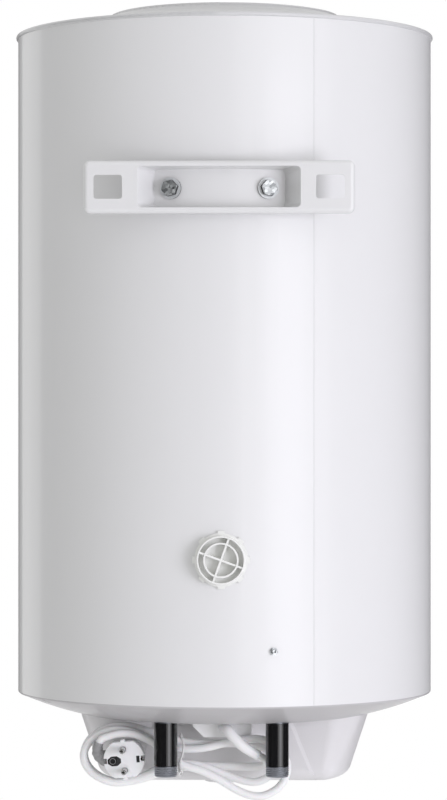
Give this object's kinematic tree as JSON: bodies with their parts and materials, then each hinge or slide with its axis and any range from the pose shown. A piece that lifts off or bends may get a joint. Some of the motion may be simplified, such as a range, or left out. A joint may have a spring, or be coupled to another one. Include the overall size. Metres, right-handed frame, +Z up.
{
  "type": "storage water heater",
  "caption": "Wall-hung round electric storage water heater, seen from its wall side, with bracket, two water pipes and a gathered mains cord.",
  "frame": {"origin": "on the wall plane, midway between the two hook windows of the wall bracket", "axes": "+Z up, +Y towards the wall, so the heater's body lies at negative Y"},
  "size_m": [0.3886, 0.4048, 0.722],
  "materials": {
    "casing_enamel": "gloss white paint",
    "lid_plastic": "satin white",
    "pan_enamel": "satin white paint",
    "tank_enamel": "glass enamel",
    "foam": "rigid foam",
    "seal_rubber": "matt",
    "plate_steel": "zinc plated",
    "zinc": "zinc plated",
    "element_sheath": "nickel alloy",
    "magnesium": "matt cast",
    "thermostat_plastic": "matt black",
    "knob_plastic": "satin white",
    "button_plastic": "red",
    "lamp_lens": "clear red",
    "terminal_plastic": "matt",
    "wire_sheath": "satin",
    "pipe_steel": "zinc plated",
    "sleeve_plastic": "satin black",
    "diffuser_plastic": "matt",
    "riser_steel": "plain",
    "cover_plastic": "satin white",
    "outlet_plastic": "satin white",
    "cord_pvc": "satin white",
    "plug_pvc": "satin white",
    "pin_brass": "nickel plated",
    "tie_plastic": "white",
    "bracket_enamel": "gloss white paint",
    "port_plastic": "satin white"
  },
  "bodies": {
    "heater": {"outer_shell": "casing_enamel", "top_lid": "lid_plastic", "bottom_pan": "pan_enamel", "inner_tank": "tank_enamel", "foam_insulation": "foam", "tank_flange_ring": "tank_enamel", "flange_gasket": "seal_rubber", "flange_plate": "plate_steel", "flange_bolts": "zinc", "heating_element": "element_sheath", "thermowell": "element_sheath", "anode_rod": "magnesium", "thermostat_body": "thermostat_plastic", "indicator_lamp": "lamp_lens", "terminal_block": "terminal_plastic", "internal_wires": "wire_sheath", "earth_screw": "zinc", "cold_water_nipple": "pipe_steel", "hot_water_nipple": "pipe_steel", "cold_pipe_sleeve": "sleeve_plastic", "hot_pipe_sleeve": "sleeve_plastic", "cold_inlet_diffuser": "diffuser_plastic", "hot_riser_tube": "riser_steel", "bottom_cover": "cover_plastic", "cover_screws": "zinc", "cable_outlet": "outlet_plastic", "cord_strain_relief": "cord_pvc", "cord_inside": "cord_pvc", "cord_lead": "cord_pvc", "cord_hank": "cord_pvc", "cord_tail": "cord_pvc", "power_plug": "plug_pvc", "plug_pins": "pin_brass", "plug_earth_clips": "pin_brass", "twist_tie": "tie_plastic", "wall_bracket": "bracket_enamel", "bracket_bolts": "zinc", "bracket_washers": "zinc", "bracket_mount_posts": "plate_steel", "foam_plug": "port_plastic", "shell_screw": "zinc"},
    "temperature_knob": {"thermostat_knob": "knob_plastic", "thermostat_spindle": "thermostat_plastic"},
    "reset_button": {"reset_button": "button_plastic"}
  },
  "joints": [
    {"name": "temperature_knob_turn", "type": "hinge", "parent": "heater", "child": "temperature_knob", "pos_m": [0, -0.2245, -0.535], "axis": [0, 0, -1], "range_deg": [0, 270]},
    {"name": "reset_button_press", "type": "slide", "parent": "heater", "child": "reset_button", "axis": [0, 0, 1], "range_m": [0, 0.0015], "stiffness_N_per_m": 600}
  ]
}
